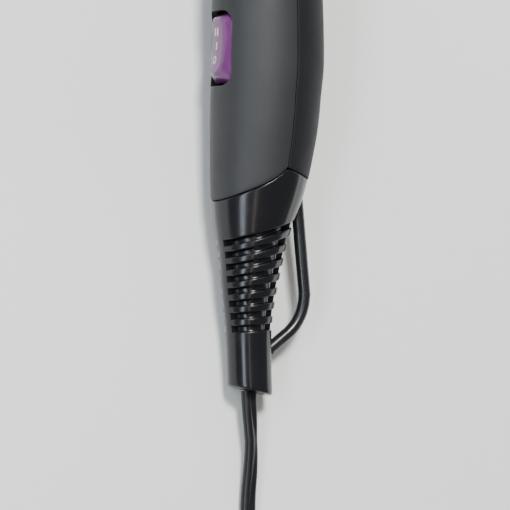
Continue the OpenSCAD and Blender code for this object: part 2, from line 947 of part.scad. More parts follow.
// The lead, from the boot's end to the coil, and the tail, from the coil to the plug.
lead_route = [
    [20.7, -126.8, 7.8], [20.9, -133, 7.2], [21.4, -140, 6.2], [21.8, -148, 5], [21.5, -156, 3.9],
    [20.8, -164, 3], [20.4, -172, 2.6], [20.6, -182, 2.7], [20.9, -192, 2.9], [21.1, -202, 3.1],
    [21.2, -210, 3.1]
];
tail_route = [
    [-32.6, -264.2, 9.1], [-39, -264.2, 8.4], [-46, -263.8, 7.7], [-53, -262.9, 7.9], [-60, -262, 9]
];
edge_on = 90;

module cord_solid(route, roll_from, roll_to, turn_from) {
    path = smooth(route, 2);
    last = len(path) - 1;
    skin([
        for (i = [0:last]) let (
            u = max(0, (i / last - turn_from) / (1 - turn_from)),
            roll = roll_from + (roll_to - roll_from) * u
        ) cord_ring(path[i], heading(path, i), cord_w / 2, cord_t / 2, roll, 8)
    ]);
}

module cord_lead() {
    color(CORD) cord_solid(lead_route, 0, edge_on, 0.45);
}

// The tie pinches the coil, so the coil is tie_thick slimmer all round there.
tie_w = 9;
tie_thick = 0.9;
tie_at = 150;
module at_tie() {
    translate([coil_centre[0], coil_centre[1], 0])
        rotate(tie_at)
            translate([coil_r, 0, coil_high / 2])
                children();
}
module tie_band(gap = 0) {
    difference() {
        cube([coil_across + 2 * gap, tie_w + 2 * gap, coil_high + 2 * gap], center = true);
        cube([coil_across - 2 * tie_thick, tie_w + 1 + 2 * gap, coil_high - 2 * tie_thick], center = true);
    }
}

module cord_coil() {
    color(CORD)
        difference() {
            translate([coil_centre[0], coil_centre[1], 0])
                rotate_extrude()
                    translate([coil_r - coil_across / 2, 0])
                        polygon([
                            [1, 0], [coil_across - 1, 0], [coil_across, 1],
                            [coil_across, coil_high - 1], [coil_across - 1, coil_high],
                            [1, coil_high], [0, coil_high - 1], [0, 1]
                        ]);
            at_tie() tie_band(0.6);
        }
}

module cord_tail() {
    color(CORD) cord_solid(tail_route, edge_on, 0, 0);
}

module cord_tie() {
    color(GLOSS_BLACK) at_tie() tie_band();
}

// ---- plug ----

plug_x = -60;
plug_y = -262;
plug_z = 9.1;
plug_len = 40;
plug_pin_r = 2.4;
plug_pin_gap = 19;
plug_pin_len = 19;

module plug_body() {
    color(GLOSS_BLACK)
        translate([plug_x, plug_y, plug_z])
            rotate([0, -90, 0])
                hull() {
                    cylinder(h = 1, r = 4.2, $fn = 32);
                    for (side = [-1, 1]) {
                        translate([0, side * 6.5, 16]) cylinder(h = 3, r = 8.4, $fn = 32);
                        translate([0, side * 9.3, plug_len - 3]) cylinder(h = 3, r = 8.8, $fn = 32);
                    }
                }
}

module plug_pins() {
    color(BRASS)
        for (side = [-1, 1])
            translate([plug_x - plug_len, plug_y + side * plug_pin_gap / 2, plug_z])
                rotate([0, -90, 0]) {
                    cylinder(h = plug_pin_len - 1.4, r = plug_pin_r);
                    translate([0, 0, plug_pin_len - 1.4]) cylinder(h = 1.4, r1 = plug_pin_r, r2 = 1.2);
                }
}

barrel_shell_left();
barrel_shell_right();
barrel_screws();
outlet_sleeve();
outlet_grille();
fan_housing();
motor_can();
motor_end_cap();
motor_armature();
fan_impeller();
rectifier_board();
mica_cross();
heater_coil();
mica_tube();
thermostat();
thermal_fuse();
barrel_wires();
intake_cover();
intake_filter();
concentrator();
handle_front_shell();
handle_rear_shell();
hinge_pins();
hinge_caps();
handle_screws();
switch_body();
switch_terminals();
rocker_switch();
suppressor_capacitor();
handle_wires();
cord_boot();
hanging_loop();
cord_clamp();
clamp_screws();
cord_inner();
cord_lead();
cord_coil();
cord_tail();
cord_tie();
plug_body();
plug_pins();
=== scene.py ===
"""Looks of the folding travel hair dryer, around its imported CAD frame.

Shapes are worked out in the dryer's own coordinates, in millimetres: +X the way the air
leaves, +Y the dryer's left side, +Z up, with the barrel's axis on X and the fold hinge below
it. laid() turns those into the row frame, in metres, from the joints' own places and axes.
"""
import json
import math

import bmesh
import bpy
import numpy as np
from mathutils import Matrix, Vector


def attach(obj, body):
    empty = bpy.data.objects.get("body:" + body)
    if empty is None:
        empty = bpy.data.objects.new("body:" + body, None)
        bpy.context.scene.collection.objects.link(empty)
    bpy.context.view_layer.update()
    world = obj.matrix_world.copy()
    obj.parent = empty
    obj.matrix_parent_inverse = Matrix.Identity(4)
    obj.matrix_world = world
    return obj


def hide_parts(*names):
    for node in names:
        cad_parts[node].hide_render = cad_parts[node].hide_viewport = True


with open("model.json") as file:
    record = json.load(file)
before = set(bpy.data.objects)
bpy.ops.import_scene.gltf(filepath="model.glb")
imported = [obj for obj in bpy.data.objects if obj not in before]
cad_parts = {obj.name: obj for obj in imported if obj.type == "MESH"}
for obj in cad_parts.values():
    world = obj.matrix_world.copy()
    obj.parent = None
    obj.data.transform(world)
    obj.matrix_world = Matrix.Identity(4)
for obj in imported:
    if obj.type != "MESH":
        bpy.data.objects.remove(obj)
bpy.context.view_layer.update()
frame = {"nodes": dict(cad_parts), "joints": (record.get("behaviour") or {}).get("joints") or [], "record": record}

MM = 0.001
joints = {j["name"]: j for j in frame["joints"]}

# ---- the dryer's own coordinates ----

HINGE_DROP = 57.0
FORWARD = Vector(joints["fan_spin"]["axis"]).normalized()
LEFT = -Vector(joints["handle_fold"]["axis"]).normalized()
UP = FORWARD.cross(LEFT)
HINGE = Vector(joints["handle_fold"]["pos_m"])
AXIS_POINT = HINGE + UP * HINGE_DROP * MM
TO_ROW = Matrix((FORWARD, LEFT, UP)).transposed().to_4x4()
LAID = Matrix.Translation(AXIS_POINT) @ TO_ROW @ Matrix.Scale(MM, 4)


def laid(x, y, z):
    """A point of the dryer, in its own millimetres, in the row frame."""
    return LAID @ Vector((x, y, z))


# ---- camera ----

# The picture looks square on to the grip, this far round from its side towards its front.
VIEW_TURN = math.radians(25)
VIEW_DISTANCE = 1.1
VIEW_CENTRE = (4.8, 0, -HINGE_DROP - 117.7)
PICTURE_WIDTH_MM = 183.6
SENSOR_MM = 36


def make_camera():
    data = bpy.data.cameras.new("camera")
    data.sensor_width = SENSOR_MM
    data.lens = SENSOR_MM * VIEW_DISTANCE / (PICTURE_WIDTH_MM * MM)
    data.clip_end = 20
    camera = bpy.data.objects.new("camera", data)
    bpy.context.scene.collection.objects.link(camera)
    back = (FORWARD * math.sin(VIEW_TURN) + LEFT * math.cos(VIEW_TURN)).normalized()
    right = UP.cross(back)
    turn = Matrix((right, UP, back)).transposed().to_4x4()
    camera.matrix_world = Matrix.Translation(laid(*VIEW_CENTRE) + back * VIEW_DISTANCE) @ turn
    bpy.context.scene.camera = camera


make_camera()

# ---- meshes ----


def add_object(name, points, faces):
    """A new object with a mesh of these points and faces."""
    mesh = bpy.data.meshes.new(name)
    mesh.from_pydata([tuple(map(float, p)) for p in points], [], faces)
    obj = bpy.data.objects.new(name, mesh)
    bpy.context.scene.collection.objects.link(obj)
    return obj


def turn_faces_out(mesh):
    bm = bmesh.new()
    bm.from_mesh(mesh)
    bmesh.ops.recalc_face_normals(bm, faces=bm.faces)
    bm.to_mesh(mesh)
    bm.free()


def shade_smooth(mesh, sharp):
    """Smooth shading, but for edges where faces meet at more than sharp degrees."""
    mesh.polygons.foreach_set("use_smooth", [True] * len(mesh.polygons))
    mesh.set_sharp_from_angle(angle=math.radians(sharp))


def piece_from(name, points, faces, body, material, sharp, in_row=False):
    """A new piece. points are the dryer's millimetres, or the row's metres if in_row."""
    obj = add_object(name, points, faces)
    obj.data.validate()
    if not in_row:
        obj.data.transform(LAID)
    finish_piece(obj, body, material, sharp)
    return obj


def finish_piece(obj, body, material, sharp):
    """Shading, material and body for a piece whose mesh is in the row frame."""
    turn_faces_out(obj.data)
    shade_smooth(obj.data, sharp)
    obj.data.materials.clear()
    obj.data.materials.append(material)
    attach(obj, body)


def loose(name, points, faces):
    """An object in the dryer's millimetres, for cutting with or being cut."""
    obj = add_object(name, points, faces)
    turn_faces_out(obj.data)
    return obj


def combine(obj, cutters, operation="DIFFERENCE"):
    """Cuts obj with each cutter in turn, or joins or trims it, and removes the cutters."""
    for tool in cutters:
        mod = obj.modifiers.new("cut", "BOOLEAN")
        mod.operation = operation
        mod.solver = "MANIFOLD"
        mod.object = tool
        bpy.context.view_layer.update()
        graph = bpy.context.evaluated_depsgraph_get()
        mesh = bpy.data.meshes.new_from_object(obj.evaluated_get(graph))
        obj.modifiers.clear()
        old = obj.data
        obj.data = mesh
        bpy.data.meshes.remove(old)
        bpy.data.objects.remove(tool)


def grid_faces(rows, cols):
    """Quads between rings of points: rows rings of cols points, each closed on itself."""
    return [
        (r * cols + c, r * cols + (c + 1) % cols,
         (r + 1) * cols + (c + 1) % cols, (r + 1) * cols + c)
        for r in range(rows - 1) for c in range(cols)
    ]


def cap_faces(ring):
    """Closes an even ring whose points mirror each other, first with last, by strips across."""
    n = len(ring)
    return [(ring[j], ring[j + 1], ring[n - 2 - j], ring[n - 1 - j]) for j in range(n // 2 - 1)]


def solid_from_rings(rings, fans=False):
    """Points and faces of a closed solid from rings of points.

    The ends are closed by strips between points that mirror each other, or by fans about the
    middle if fans.
    """
    points = [p for ring in rings for p in ring]
    n = len(rings[0])
    last = (len(rings) - 1) * n
    faces = grid_faces(len(rings), n)
    for ring, first in ((rings[0], 0), (rings[-1], last)):
        if fans:
            points.append(tuple(np.mean(np.array(ring), axis=0)))
            faces += [(first + j, first + (j + 1) % n, len(points) - 1) for j in range(n)]
        else:
            faces += cap_faces([first + j for j in range(n)])
    return points, faces


def tube(path, ring_of):
    """Points and faces of a tube along path: ring_of(i, point, ahead) gives each ring."""
    path = [Vector(p) for p in path]
    rings = []
    for i, p in enumerate(path):
        ahead = path[min(i + 1, len(path) - 1)] - path[max(i - 1, 0)]
        rings.append(ring_of(i, p, ahead.normalized()))
    n = len(rings[0])
    points = [q for ring in rings for q in ring]
    faces = grid_faces(len(rings), n)
    faces.append(tuple(range(n)))
    faces.append(tuple((len(rings) - 1) * n + j for j in range(n)))
    return points, faces


def distance_along(path):
    steps = np.linalg.norm(np.diff(path, axis=0), axis=1)
    return np.concatenate([[0], np.cumsum(steps)])


def smooth_path(route, step):
    """A smooth curve through the route's points, cut into even steps."""
    route = np.array(route, float)
    fine = []
    for i in range(len(route) - 1):
        p0, p1 = route[max(i - 1, 0)], route[i]
        p2, p3 = route[i + 1], route[min(i + 2, len(route) - 1)]
        for t in np.arange(0, 1, 0.05):
            fine.append(0.5 * (2 * p1 + (p2 - p0) * t + (2 * p0 - 5 * p1 + 4 * p2 - p3) * t ** 2
                               + (3 * p1 - p0 - 3 * p2 + p3) * t ** 3))
    fine.append(route[-1])
    fine = np.array(fine)
    along = distance_along(fine)
    count = max(2, int(round(along[-1] / step)) + 1)
    even = np.linspace(0, along[-1], count)
    return np.stack([np.interp(even, along, fine[:, k]) for k in range(3)], axis=1)


def smooth_step(t):
    """Rises from 0 to 1 with level ends."""
    return t * t * (3 - 2 * t)


# ---- materials ----

# Depth of a moulded grain, in metres.
GRAIN_DEPTH = 0.00012
# A worn edge's colour is the surface's own times the gain, plus the rest.
WORN_GAIN = 1.6
WORN_ADDED = 0.03
# Pointiness at which an edge starts to look worn and at which it is fully worn.
WORN_POINTINESS = (0.52, 0.62)
BEVEL_SAMPLES = 4


def surface(name, colour, roughness, grain, grain_scale=900, coat=0.0, coat_roughness=0.1,
            specular=0.5, mottle=0.12, mottle_scale=45, rough_vary=0.08, metallic=0.0,
            wear=0.25, round_mm=0.25):
    """Moulded or metal surface: mottled colour, uneven roughness, fine grain, worn edges."""
    mat = bpy.data.materials.new(name)
    mat.use_nodes = True
    nodes, links = mat.node_tree.nodes, mat.node_tree.links
    shader = nodes["Principled BSDF"]
    shader.inputs["Metallic"].default_value = metallic
    shader.inputs["Specular IOR Level"].default_value = specular
    shader.inputs["Coat Weight"].default_value = coat
    shader.inputs["Coat Roughness"].default_value = coat_roughness
    where = nodes.new("ShaderNodeTexCoord").outputs["Object"]

    def noise(scale, detail=3.0, rough=0.55):
        node = nodes.new("ShaderNodeTexNoise")
        node.inputs["Scale"].default_value = scale
        node.inputs["Detail"].default_value = detail
        node.inputs["Roughness"].default_value = rough
        links.new(where, node.inputs["Vector"])
        return node.outputs["Fac"]

    def ramp(source, low, high, from_low=0.3, from_high=0.7):
        node = nodes.new("ShaderNodeMapRange")
        node.inputs["From Min"].default_value = from_low
        node.inputs["From Max"].default_value = from_high
        node.inputs["To Min"].default_value = low
        node.inputs["To Max"].default_value = high
        links.new(source, node.inputs["Value"])
        return node.outputs["Result"]

    def mix(factor, a, b):
        node = nodes.new("ShaderNodeMix")
        node.data_type = "RGBA"
        for socket, value in ((node.inputs[0], factor), (node.inputs[6], a), (node.inputs[7], b)):
            if isinstance(value, tuple):
                socket.default_value = value
            else:
                links.new(value, socket)
        return node.outputs[2]

    dark = tuple(c * (1 - mottle) for c in colour) + (1,)
    light = tuple(min(1, c * (1 + mottle)) for c in colour) + (1,)
    tone = mix(ramp(noise(mottle_scale), 0, 1), dark, light)
    if wear:
        worn = tuple(min(1, c * WORN_GAIN + WORN_ADDED) for c in colour) + (1,)
        pointiness = nodes.new("ShaderNodeNewGeometry").outputs["Pointiness"]
        tone = mix(ramp(pointiness, 0, wear, *WORN_POINTINESS), tone, worn)
    links.new(tone, shader.inputs["Base Color"])
    uneven = ramp(noise(mottle_scale * 2.3, 5, 0.6), roughness - rough_vary, roughness + rough_vary)
    links.new(uneven, shader.inputs["Roughness"])
    bump = nodes.new("ShaderNodeBump")
    bump.inputs["Strength"].default_value = grain
    bump.inputs["Distance"].default_value = GRAIN_DEPTH
    links.new(noise(grain_scale, 2), bump.inputs["Height"])
    if round_mm:
        rounded = nodes.new("ShaderNodeBevel")
        rounded.samples = BEVEL_SAMPLES
        rounded.inputs["Radius"].default_value = round_mm * MM
        links.new(rounded.outputs["Normal"], bump.inputs["Normal"])
    links.new(bump.outputs["Normal"], shader.inputs["Normal"])
    return mat


SHELL = surface("shell", (0.017, 0.0175, 0.020), 0.55, grain=0.22, grain_scale=2600,
                mottle=0.10, rough_vary=0.04)
# The rear shell is the same plastic as the front one. Its darker colour is painted shade on the side turned away
# from the lamps, and its weaker specular keeps the floor's reflection off its far edge.
REAR_SHELL_PAINTED_SHADE = surface("rear_shell", (0.011, 0.011, 0.013), 0.55, grain=0.22, grain_scale=2600,
                     specular=0.22, mottle=0.10, rough_vary=0.04)
BOOT = surface("boot", (0.006, 0.006, 0.008), 0.22, grain=0.05, grain_scale=700, coat=0.08,
               specular=0.42, rough_vary=0.05, wear=0.12, round_mm=0.0)
LOOP = surface("loop", (0.009, 0.009, 0.011), 0.28, grain=0.06, grain_scale=500, coat=0.1,
               rough_vary=0.05, round_mm=0.0)
GLOSS = surface("gloss_black", (0.012, 0.012, 0.013), 0.16, grain=0.03, grain_scale=600,
                coat=0.5, coat_roughness=0.06, rough_vary=0.04, wear=0.15)
INNER = surface("black_inner", (0.012, 0.012, 0.012), 0.6, grain=0.15, grain_scale=1200)
CORD = surface("cord", (0.006, 0.006, 0.007), 0.36, grain=0.12, grain_scale=420, coat=0.05,
               coat_roughness=0.25, specular=0.4, wear=0.1, round_mm=0.0)
ROCKER = surface("rocker", (0.115, 0.020, 0.115), 0.3, grain=0.02, grain_scale=300, coat=0.3,
                 coat_roughness=0.16, mottle=0.18, mottle_scale=90, rough_vary=0.03, wear=0.0)
MARK = surface("mark", (0.72, 0.70, 0.74), 0.45, grain=0.1, grain_scale=1500, mottle=0.06,
               wear=0.0, round_mm=0.0)
STEEL = surface("steel", (0.55, 0.55, 0.57), 0.32, grain=0.12, grain_scale=800, metallic=1.0)
GRILLE = surface("grille_steel", (0.30, 0.30, 0.31), 0.38, grain=0.12, metallic=1.0)
BRASS = surface("brass", (0.72, 0.54, 0.26), 0.3, grain=0.1, metallic=1.0)
NICKEL = surface("plug_metal", (0.74, 0.70, 0.60), 0.22, grain=0.08, mottle_scale=120,
                 metallic=1.0)
COPPER = surface("copper", (0.62, 0.30, 0.17), 0.35, grain=0.3, metallic=0.8)
BOARD = surface("board", (0.03, 0.16, 0.06), 0.4, grain=0.15)
MICA = surface("mica", (0.50, 0.42, 0.29), 0.55, grain=0.5, grain_scale=260, mottle=0.25)
WIRE_SLEEVE = surface("wire_sleeve", (0.30, 0.03, 0.03), 0.45, grain=0.08, round_mm=0.0)
CAPACITOR = surface("capacitor", (0.70, 0.48, 0.08), 0.3, grain=0.06)
TIE = surface("tie", (0.020, 0.020, 0.021), 0.6, grain=0.4, grain_scale=500)

MATERIAL_OF_SLOT = {
    "shell": SHELL, "rear_shell": REAR_SHELL_PAINTED_SHADE, "gloss_black": GLOSS, "black_inner": INNER,
    "boot_black": BOOT, "rocker_purple": ROCKER, "steel": STEEL, "grille_steel": GRILLE,
    "heating_wire": STEEL, "copper": COPPER, "board": BOARD, "mica": MICA, "brass": BRASS,
    "wire_sleeve": WIRE_SLEEVE, "capacitor": CAPACITOR, "cord_black": CORD, "tie_rubber": TIE,
    "plug_metal": NICKEL,
}
CAD_SHARP = 35


def dress_cad_nodes():
    """Every CAD node gets its slot's material and smooth shading with sharp edges."""
    slots = {s["node"]: s["material_slot"] for s in frame["record"]["subparts"]}
    for name, obj in frame["nodes"].items():
        obj.data.materials.clear()
        obj.data.materials.append(MATERIAL_OF_SLOT[slots[name]])
        shade_smooth(obj.data, CAD_SHARP)


dress_cad_nodes()

# ---- the cord ----

CORD_W = 6.0
CORD_T = 3.8
COIL_CENTRE = (-20.0, -223.0)
COIL_R = 34.0
COIL_ACROSS = 18.3

LEAD_ROUTE = [
    (20.7, -126.8, 7.8), (20.9, -133, 7.2), (21.4, -140, 6.2), (21.8, -148, 5), (21.5, -156, 3.9),
    (20.8, -164, 3), (20.4, -172, 2.6), (20.6, -182, 2.7), (20.9, -192, 2.9), (21.1, -202, 3.1),
    (21.2, -210, 3.1),
]
TAIL_ROUTE = [
    (-32.6, -264.2, 9.1), (-39, -264.2, 8.4), (-46, -263.8, 7.7), (-53, -262.9, 7.9), (-60, -262, 9),
]
COIL_COLUMNS = 4
LOWER_TURNS = 3.5
UPPER_TURNS = 3.75
LAYER_Z = (3.1, 9.1)
# The coil climbs from its lower layer to its upper one over this share of a turn.
LAYER_CHANGE = 0.24
TURN_POINTS = 48
ROUTE_STEP = 1.2
# Points of the whole lead's path are thinned out until they lie further apart than this.
PATH_SPACING = 0.9
CORD_SIDES = 28
GROOVE_DEPTH = 0.42
GROOVE_SPREAD = 0.62


def coil_points():
    """The coil's centreline: inwards in the lower layer, then outwards in the upper one."""
    pitch = (COIL_ACROSS - CORD_T) / (COIL_COLUMNS - 1)
    outer = COIL_R + (COIL_ACROSS - CORD_T) / 2
    total = LOWER_TURNS + UPPER_TURNS
    steps = int(total * TURN_POINTS)
    points = []
    for k in range(steps + 1):
        turns = total * k / steps
        if turns < LOWER_TURNS:
            inward = turns * (COIL_COLUMNS - 1) / LOWER_TURNS
        else:
            inward = (COIL_COLUMNS - 1) * (1 - (turns - LOWER_TURNS) / UPPER_TURNS)
        climbed = (turns - LOWER_TURNS + LAYER_CHANGE / 2) / LAYER_CHANGE
        rise = smooth_step(min(1, max(0, climbed)))
        radius = outer - pitch * inward
        angle = -2 * math.pi * turns
        points.append((COIL_CENTRE[0] + radius * math.cos(angle),
                       COIL_CENTRE[1] + radius * math.sin(angle),
                       LAYER_Z[0] + (LAYER_Z[1] - LAYER_Z[0]) * rise))
    return points


def cord_path():
    """The whole lead's centreline in the row frame, in millimetres."""
    lead = smooth_path(LEAD_ROUTE, ROUTE_STEP)
    tail = smooth_path(TAIL_ROUTE, ROUTE_STEP)
    path = np.concatenate([lead, np.array(coil_points()), tail])
    keep = [0]
    for i in range(1, len(path)):
        if np.linalg.norm(path[i] - path[keep[-1]]) > PATH_SPACING:
            keep.append(i)
    return path[keep]


def cord_section():
    """The flat twin lead's outline: two cores side by side with a groove between them."""
    outline = []
    core_place = (CORD_W - CORD_T) / 2
    for k in range(CORD_SIDES):
        a = 2 * math.pi * k / CORD_SIDES
        w = CORD_W / 2 * math.cos(a)
        beyond = max(0.0, abs(w) - core_place)
        h = math.sqrt(max(0.0, (CORD_T / 2) ** 2 - beyond ** 2))
        groove = GROOVE_DEPTH * math.exp(-(w / GROOVE_SPREAD) ** 2)
        outline.append((w, math.copysign(max(0.0, h - groove), math.sin(a))))
    return outline


def make_cord():
    path = cord_path()
    along = distance_along(path)
    total = along[-1]
    section = cord_section()
    # How far the wide side is turned from level, in degrees, at distances along the lead: it is
    # nearly level at the boot and the plug, twists on its way, and stands upright in the coil.
    turned = [(0, 8), (8, 16), (18, 42), (32, 18), (48, 6), (80, 90),
              (total - 34, 90), (total - 6, 8), (total, 8)]
    rolls = np.interp(along, *zip(*turned))

    def ring(i, p, ahead):
        side = ahead.cross(Vector((0, 0, 1))).normalized()
        up = side.cross(ahead)
        roll = math.radians(rolls[i])
        wide = side * math.cos(roll) + up * math.sin(roll)
        thin = up * math.cos(roll) - side * math.sin(roll)
        return [p + wide * w + thin * h for w, h in section]

    points, faces = tube(path, ring)
    points = [p * MM for p in points]
    obj = piece_from("flat_twin_lead", points, faces, "grip", CORD, in_row=True, sharp=70)
    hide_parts("cord_lead", "cord_coil", "cord_tail")


make_cord()

# ---- the grip's outer form ----

# Distance below the hinge, centre, half depth and half width of the grip and its boot.
GRIP_LINE = np.array([
    (-20, 0, 18.9, 16.6), (0, 0, 19.2, 17.0), (26, -0.2, 20.6, 17.3), (49, -0.2, 21.0, 17.6),
    (60.5, 0.5, 20.55, 17.3), (72, 1.2, 20.05, 16.8), (83.5, 2.35, 19.0, 15.9), (91, 3.2, 18.1, 15.3),
    (98, 4.15, 16.85, 14.5), (106, 5.45, 14.8, 13.3), (112, 6.05, 13.25, 12.2), (118, 6.3, 12.1, 11.5),
    (129.5, 7.2, 10.4, 9.9), (141, 7.5, 8.85, 8.4), (150, 7.4, 8.3, 7.9), (175, 6.6, 8.15, 7.75),
])
KNUCKLE_R = 18.5
WALL = 2.2
PARTING_BACK = 3.9
TONGUE_HALF = 7.5
SEAM_GAP = 0.34
EDGE_R = 0.42
# A first guess, in distance below the hinge, wherever a place on the seam is looked for.
SEAM_ABOUT = 92.0


def grip_form(d):
    """Centre, half depth and half width at distances d below the hinge."""
    d = np.asarray(d, float)
    at, rows = GRIP_LINE[:, 0], GRIP_LINE[:, 1:]
    slope = np.empty_like(rows)
    slope[1:-1] = (rows[2:] - rows[:-2]) / (at[2:] - at[:-2])[:, None]
    slope[0] = (rows[1] - rows[0]) / (at[1] - at[0])
    slope[-1] = (rows[-1] - rows[-2]) / (at[-1] - at[-2])
    i = np.clip(np.searchsorted(at, d, side="right") - 1, 0, len(at) - 2)
    run = (at[i + 1] - at[i])[..., None]
    t = ((d - at[i]) / (at[i + 1] - at[i]))[..., None]
    form = ((2 * t ** 3 - 3 * t ** 2 + 1) * rows[i] + (t ** 3 - 2 * t ** 2 + t) * run * slope[i]
            + (3 * t ** 2 - 2 * t ** 3) * rows[i + 1] + (t ** 3 - t ** 2) * run * slope[i + 1])
    return form[..., 0], form[..., 1], form[..., 2]


def bezier(a, b, c, d, t):
    a, b, c, d = (np.array(p, float) for p in (a, b, c, d))
    t = t[:, None]
    return (1 - t) ** 3 * a + 3 * (1 - t) ** 2 * t * b + 3 * (1 - t) * t ** 2 * c + t ** 3 * d


# The seam between the shells and the boot, as X and distance below the hinge, back to front.
SEAM_BACK, SEAM_APEX, SEAM_FRONT = (-22, 93.2), (-1, 86.6), (22, 98.8)
SEAM = np.concatenate([[SEAM_BACK], bezier(SEAM_APEX, (4, 92), (12, 94), SEAM_FRONT,
                                           np.linspace(0, 1, 40))])


def seam_at(x):
    return np.interp(x, SEAM[:, 0], SEAM[:, 1])


def on_seam(cosine, offset):
    """Distances where columns of the grip, at these cosines, meet the seam moved by offset."""
    d = np.full_like(cosine, SEAM_ABOUT)
    for _ in range(12):
        centre, half_x, _ = grip_form(d)
        d = 0.5 * d + 0.5 * (seam_at(centre + half_x * cosine) + offset)
    return d


def mirrored(ring):
    """A half ring on the left side of the dryer, with its mirror image to close it."""
    ring = np.asarray(ring)
    other = ring[::-1] * np.array([1, -1, 1])
    return np.concatenate([ring, other])


# ---- grip shells ----

SHELL_COLUMNS = 44
SHELL_TOP = -19.5
SHELL_RINGS = 58
# Half the gap between the two shells at their parting plane.
PARTING_HALF_GAP = 0.10
# How far in the shells' lowest ring lies, out of sight behind the seam.
SEAM_TURN_IN = 3.4


def shell_half_ring(front, d, inset):
    """Half an outline of one shell: along the parting plane, round its edge, over the outside.

    d and inset are given for each of the SHELL_COLUMNS points.
    """
    centre, half_x, half_y = grip_form(d)
    sign = 1 if front else -1
    edge = sign * PARTING_HALF_GAP - PARTING_BACK
    across = (2.0, 7.0, 11.5)
    rounding = np.radians([88, 66, 44, 22, 0])
    outside = SHELL_COLUMNS - len(across) - len(rounding)
    points = []
    for i in range(SHELL_COLUMNS):
        hx, hy = half_x[i] - inset[i], half_y[i] - inset[i]
        if i < len(across):
            x, y = edge, across[i]
        elif i < len(across) + len(rounding):
            phi = rounding[i - len(across)]
            x = edge + sign * EDGE_R * (1 - math.sin(phi))
            y = hy * math.sqrt(1 - (x / hx) ** 2) - EDGE_R * (1 - math.cos(phi))
        else:
            start = math.acos((edge + sign * EDGE_R) / hx)
            stop = 0.0 if front else math.pi
            k = (i - len(across) - len(rounding) + 1) / (outside + 0.5)
            a = start + (stop - start) * k
            x, y = hx * math.cos(a), hy * math.sin(a)
        points.append((centre[i] + x, y, -d[i]))
    return points


def shell_cosines(front):
    """About where each column of a shell stands round the grip, for finding the seam there."""
    level = np.full(SHELL_COLUMNS, SEAM_ABOUT)
    sample = np.array(shell_half_ring(front, level, np.zeros(SHELL_COLUMNS)))
    centre, half_x, _ = grip_form(SEAM_ABOUT)
    return np.clip((sample[:, 0] - centre) / half_x, -1, 1)


def shell_blank(front):
    """Rings of one shell's solid outside form, with a rounded edge along the seam."""
    low = on_seam(shell_cosines(front), -SEAM_GAP / 2)
    rings = []
    for f in np.linspace(0, 1, SHELL_RINGS) ** 0.9:
        d = SHELL_TOP + (low - EDGE_R - SHELL_TOP) * f
        rings.append(mirrored(shell_half_ring(front, d, np.zeros(SHELL_COLUMNS))))
    for phi in np.radians([25, 50, 72, 90]):
        d = low - EDGE_R * (1 - math.sin(phi))
        inset = np.full(SHELL_COLUMNS, EDGE_R * (1 - math.cos(phi)))
        rings.append(mirrored(shell_half_ring(front, d, inset)))
    turn_in = np.full(SHELL_COLUMNS, SEAM_TURN_IN)
    rings.append(mirrored(shell_half_ring(front, low, turn_in)))
    return rings


def oval_rings(distances, inset):
    """Whole rings of the grip's form, pulled in by inset."""
    count = 36
    rings = []
    for d in distances:
        centre, half_x, half_y = grip_form(float(d))
        half = [(centre + (half_x - inset) * math.cos(a), (half_y - inset) * math.sin(a), -d)
                for a in (np.arange(count) + 0.5) * math.pi / count]
        rings.append(mirrored(half))
    return rings


def prism(outline, low, high, axis):
    """A closed prism of a 2-D outline along Y (axis 1) or along X (axis 0)."""
    n = len(outline)
    points = []
    for level in (low, high):
        for a, b in outline:
            points.append((a, level, b) if axis == 1 else (level, a, b))
    faces = [(k, (k + 1) % n, n + (k + 1) % n, n + k) for k in range(n)]
    faces += [tuple(range(n)), tuple(range(2 * n - 1, n - 1, -1))]
    return points, faces


def disc(centre, radius, count=48):
    return [(centre[0] + radius * math.cos(2 * math.pi * k / count),
             centre[1] + radius * math.sin(2 * math.pi * k / count)) for k in range(count)]


def rounded_box(half_a, half_b, radius, centre):
    corner = 8
    outline = []
    for sa, sb, turn in ((1, 1, 0), (-1, 1, 90), (-1, -1, 180), (1, -1, 270)):
        for k in range(corner + 1):
            a = math.radians(turn + 90 * k / corner)
            outline.append((centre[0] + sa * (half_a - radius) + radius * math.cos(a),
                            centre[1] + sb * (half_b - radius) + radius * math.sin(a)))
    return outline


def box(low, high):
    """A closed box between two opposite corners."""
    (x0, y0, z0), (x1, y1, z1) = low, high
    points = [(x, y, z) for x in (x0, x1) for y in (y0, y1) for z in (z0, z1)]
    faces = [(0, 1, 3, 2), (4, 6, 7, 5), (0, 4, 5, 1), (2, 3, 7, 6), (0, 2, 6, 4), (1, 5, 7, 3)]
    return points, faces


def about_hinge(shape):
    """Lowers a shape drawn about the hinge to its place below the barrel's axis."""
    points, faces = shape
    return [(p[0], p[1], p[2] - HINGE_DROP) for p in points], faces


def cutter(shape):
    return loose("cutter", *about_hinge(shape))


# Cutters reach this far, beyond every side of the grip.
FAR = 40
FORK_GAP = 0.2
# Heights about the hinge down to which the fork is open, behind the hinge and in front of it.
FORK_OPEN_BACK = -4
FORK_OPEN_FRONT = -5.4
HINGE_CAP_R = 9.65
HINGE_CAP_SEAT = 15
CAVITY = (23, 104)
CAVITY_STEP = 2.5
GRIP_FOOT = -110


def fork_cutters():
    """The slot for the neck's tongue, open above, and the seats of the hinge caps."""
    return [
        cutter(prism(disc((0, 0), KNUCKLE_R + FORK_GAP, 96), -TONGUE_HALF, TONGUE_HALF, 1)),
        cutter(box((-FAR, -TONGUE_HALF, FORK_OPEN_BACK), (FAR, TONGUE_HALF, FAR))),
        cutter(box((0, -TONGUE_HALF, FORK_OPEN_FRONT), (FAR, TONGUE_HALF, FAR))),
        cutter(prism(disc((0, 0), HINGE_CAP_R, 64), HINGE_CAP_SEAT, FAR, 1)),
        cutter(prism(disc((0, 0), HINGE_CAP_R, 64), -FAR, -HINGE_CAP_SEAT, 1)),
    ]


